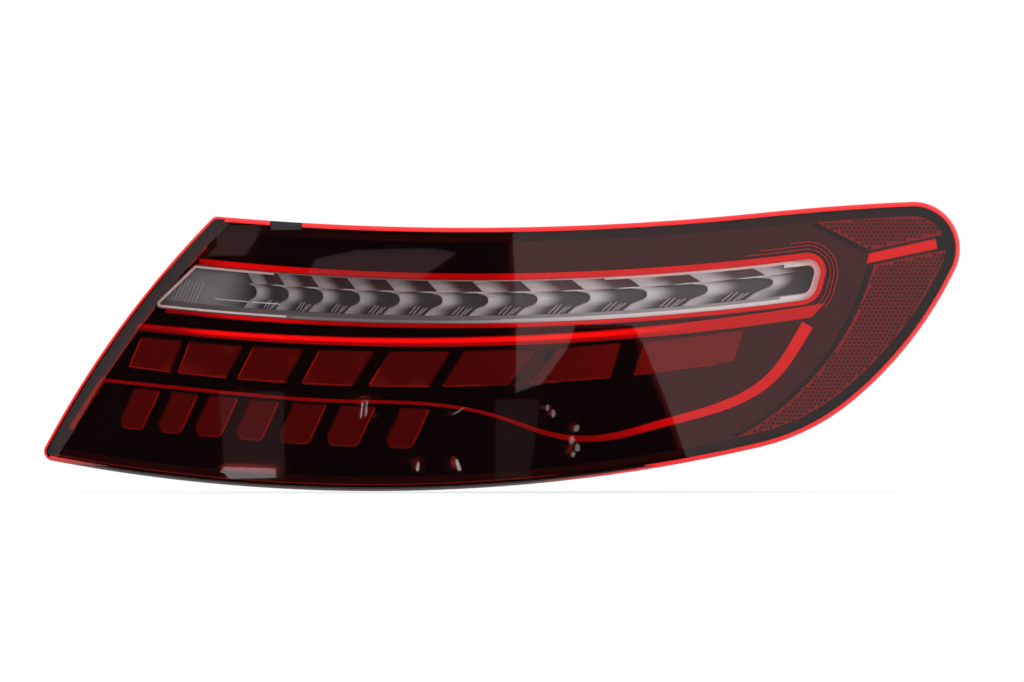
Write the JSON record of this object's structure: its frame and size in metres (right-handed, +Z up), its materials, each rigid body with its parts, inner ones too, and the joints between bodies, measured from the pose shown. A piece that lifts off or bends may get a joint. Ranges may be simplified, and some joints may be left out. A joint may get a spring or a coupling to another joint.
{
  "type": "tail light cluster",
  "caption": "Car tail light cluster with a smoked red wrap-round lens, a clear silver band, red light guides, slanted lamp cells, a reflex patch and studs on a black housing.",
  "frame": {"origin": "where the main stud leaves its collar, on the plane that meets the car body", "axes": "+X along the lamp towards its wrapped outer end, +Y back along the main stud into the car, +Z up; the lens faces -Y"},
  "size_m": [0.4773, 0.1858, 0.1508],
  "materials": {
    "smoked_lens": "gloss smoked red",
    "clear_lens": "gloss clear",
    "housing": "fine grain black",
    "bezel": "gloss black",
    "carrier": "matt dark grey",
    "silver": "vacuum metallised",
    "red_guide": "gloss red",
    "stop_red": "gloss dark red",
    "reflex_red": "moulded prisms",
    "prism": "clear ribbed",
    "sealant": "cured bead",
    "board": "solder mask",
    "led": "phosphor",
    "aluminium": "die cast",
    "steel": "zinc plated",
    "chip": "moulded",
    "foam": "closed cell foam",
    "rubber": "matt",
    "nylon": "satin",
    "socket": "matt",
    "brass": "tin plated"
  },
  "bodies": {
    "root": {"outer_lens": "smoked_lens", "clear_window": "clear_lens", "lens_sealant": "sealant", "housing": "housing", "bezel": "bezel", "optic_carrier": "carrier", "carrier_screws": "steel", "band_reflector": "silver", "band_prisms": "prism", "band_leds": "led", "window_trim": "silver", "band_led_board": "board", "heat_spreader": "aluminium", "frame_light_guide": "red_guide", "lower_light_guide": "red_guide", "hook_light_guide": "red_guide", "side_marker_guide": "red_guide", "guide_led_boards": "board", "guide_leds": "led", "stop_lens": "stop_red", "stop_reflector": "silver", "stop_led_board": "board", "stop_leds": "led", "fog_lens": "stop_red", "fog_reflector": "silver", "fog_led_board": "board", "fog_leds": "led", "lower_reflex": "reflex_red", "upper_reflex": "reflex_red", "mounting_studs": "steel", "locating_ball": "nylon", "breather_caps": "rubber", "body_gasket": "foam", "driver_cover": "aluminium", "driver_gasket": "rubber", "driver_board": "board", "driver_chips": "chip", "driver_screws": "steel", "connector_socket": "socket", "connector_pins": "brass"}
  },
  "joints": []
}
